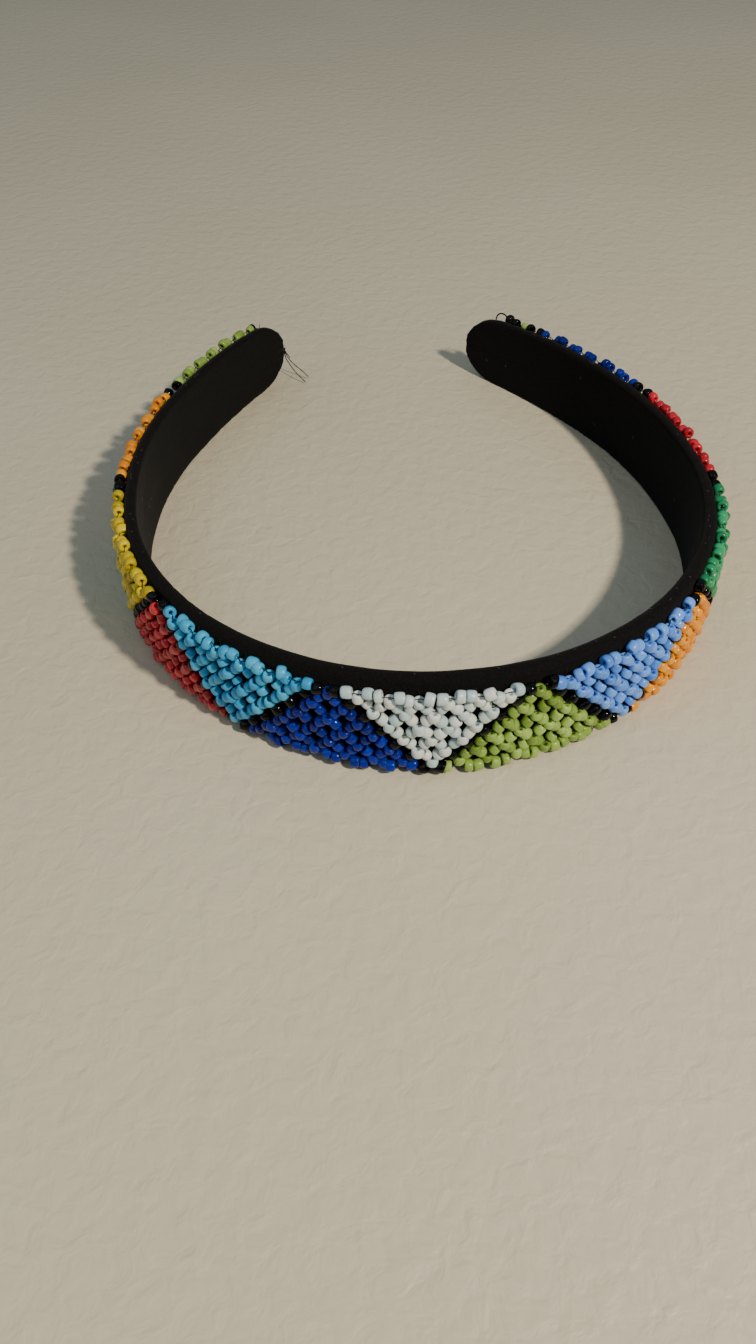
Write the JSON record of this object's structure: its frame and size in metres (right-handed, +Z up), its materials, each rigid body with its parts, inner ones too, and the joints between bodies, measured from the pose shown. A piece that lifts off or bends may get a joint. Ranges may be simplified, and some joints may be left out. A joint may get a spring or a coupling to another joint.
{
  "type": "hair band",
  "caption": "Springy open hoop hair band in a black fabric sleeve, its outer face covered by a net of glass seed beads in a triangle pattern.",
  "frame": {"origin": "centre of the bounding box at its base: the middle of the opening, in the plane of the side edge that the band lies on", "axes": "+Z up, from the side edge that it lies on to the other side edge; +Y from the crown towards the two tips; +X across the band"},
  "size_m": [0.1374, 0.1561, 0.0234],
  "materials": {
    "lime_bead": "opaque glossy glass",
    "orange_bead": "opaque glossy glass",
    "yellow_bead": "opaque glossy glass",
    "sky_bead": "opaque glossy glass",
    "white_bead": "opaque glossy glass",
    "periwinkle_bead": "opaque glossy glass",
    "green_bead": "opaque glossy glass",
    "red_bead": "opaque glossy glass",
    "cobalt_bead": "opaque glossy glass",
    "black_bead": "opaque glossy glass",
    "black_fabric": "matt stretch fabric",
    "hoop_plastic": "smooth",
    "wadding": "soft fibre wadding",
    "nylon_thread": "clear nylon, slightly shiny",
    "black_thread": "waxed nylon, slightly shiny"
  },
  "bodies": {
    "root": {"black_dividers_01": "black_bead", "black_dividers_02": "black_bead", "black_dividers_03": "black_bead", "black_dividers_04": "black_bead", "black_dividers_05": "black_bead", "black_dividers_06": "black_bead", "black_dividers_07": "black_bead", "black_dividers_08": "black_bead", "black_dividers_09": "black_bead", "black_dividers_10": "black_bead", "black_end_beads": "black_bead", "fabric_sleeve": "black_fabric", "left_knot": "nylon_thread", "left_long_tail": "nylon_thread", "left_middle_tail": "nylon_thread", "left_short_tail": "nylon_thread", "lower_anchor_stitches": "nylon_thread", "lower_edge_thread": "nylon_thread", "lower_triangle_01_white": "white_bead", "lower_triangle_02_periwinkle": "periwinkle_bead", "lower_triangle_03_green": "green_bead", "lower_triangle_04_red": "red_bead", "lower_triangle_05_cobalt": "cobalt_bead", "lower_triangle_06_lime": "lime_bead", "lower_triangle_07_orange": "orange_bead", "lower_triangle_08_yellow": "yellow_bead", "lower_triangle_09_sky": "sky_bead", "lower_triangle_10_white": "white_bead", "net_thread_row_1": "nylon_thread", "net_thread_row_2": "nylon_thread", "net_thread_row_3": "nylon_thread", "net_thread_row_4": "nylon_thread", "net_thread_row_5": "nylon_thread", "plastic_hoop": "hoop_plastic", "right_thread_loop": "black_thread", "upper_anchor_stitches": "nylon_thread", "upper_edge_thread": "nylon_thread", "upper_triangle_01_lime": "lime_bead", "upper_triangle_02_orange": "orange_bead", "upper_triangle_03_yellow": "yellow_bead", "upper_triangle_04_sky": "sky_bead", "upper_triangle_05_white": "white_bead", "upper_triangle_06_periwinkle": "periwinkle_bead", "upper_triangle_07_green": "green_bead", "upper_triangle_08_red": "red_bead", "upper_triangle_09_cobalt": "cobalt_bead", "upper_triangle_10_lime": "lime_bead", "wadding_strip": "wadding"}
  },
  "joints": []
}
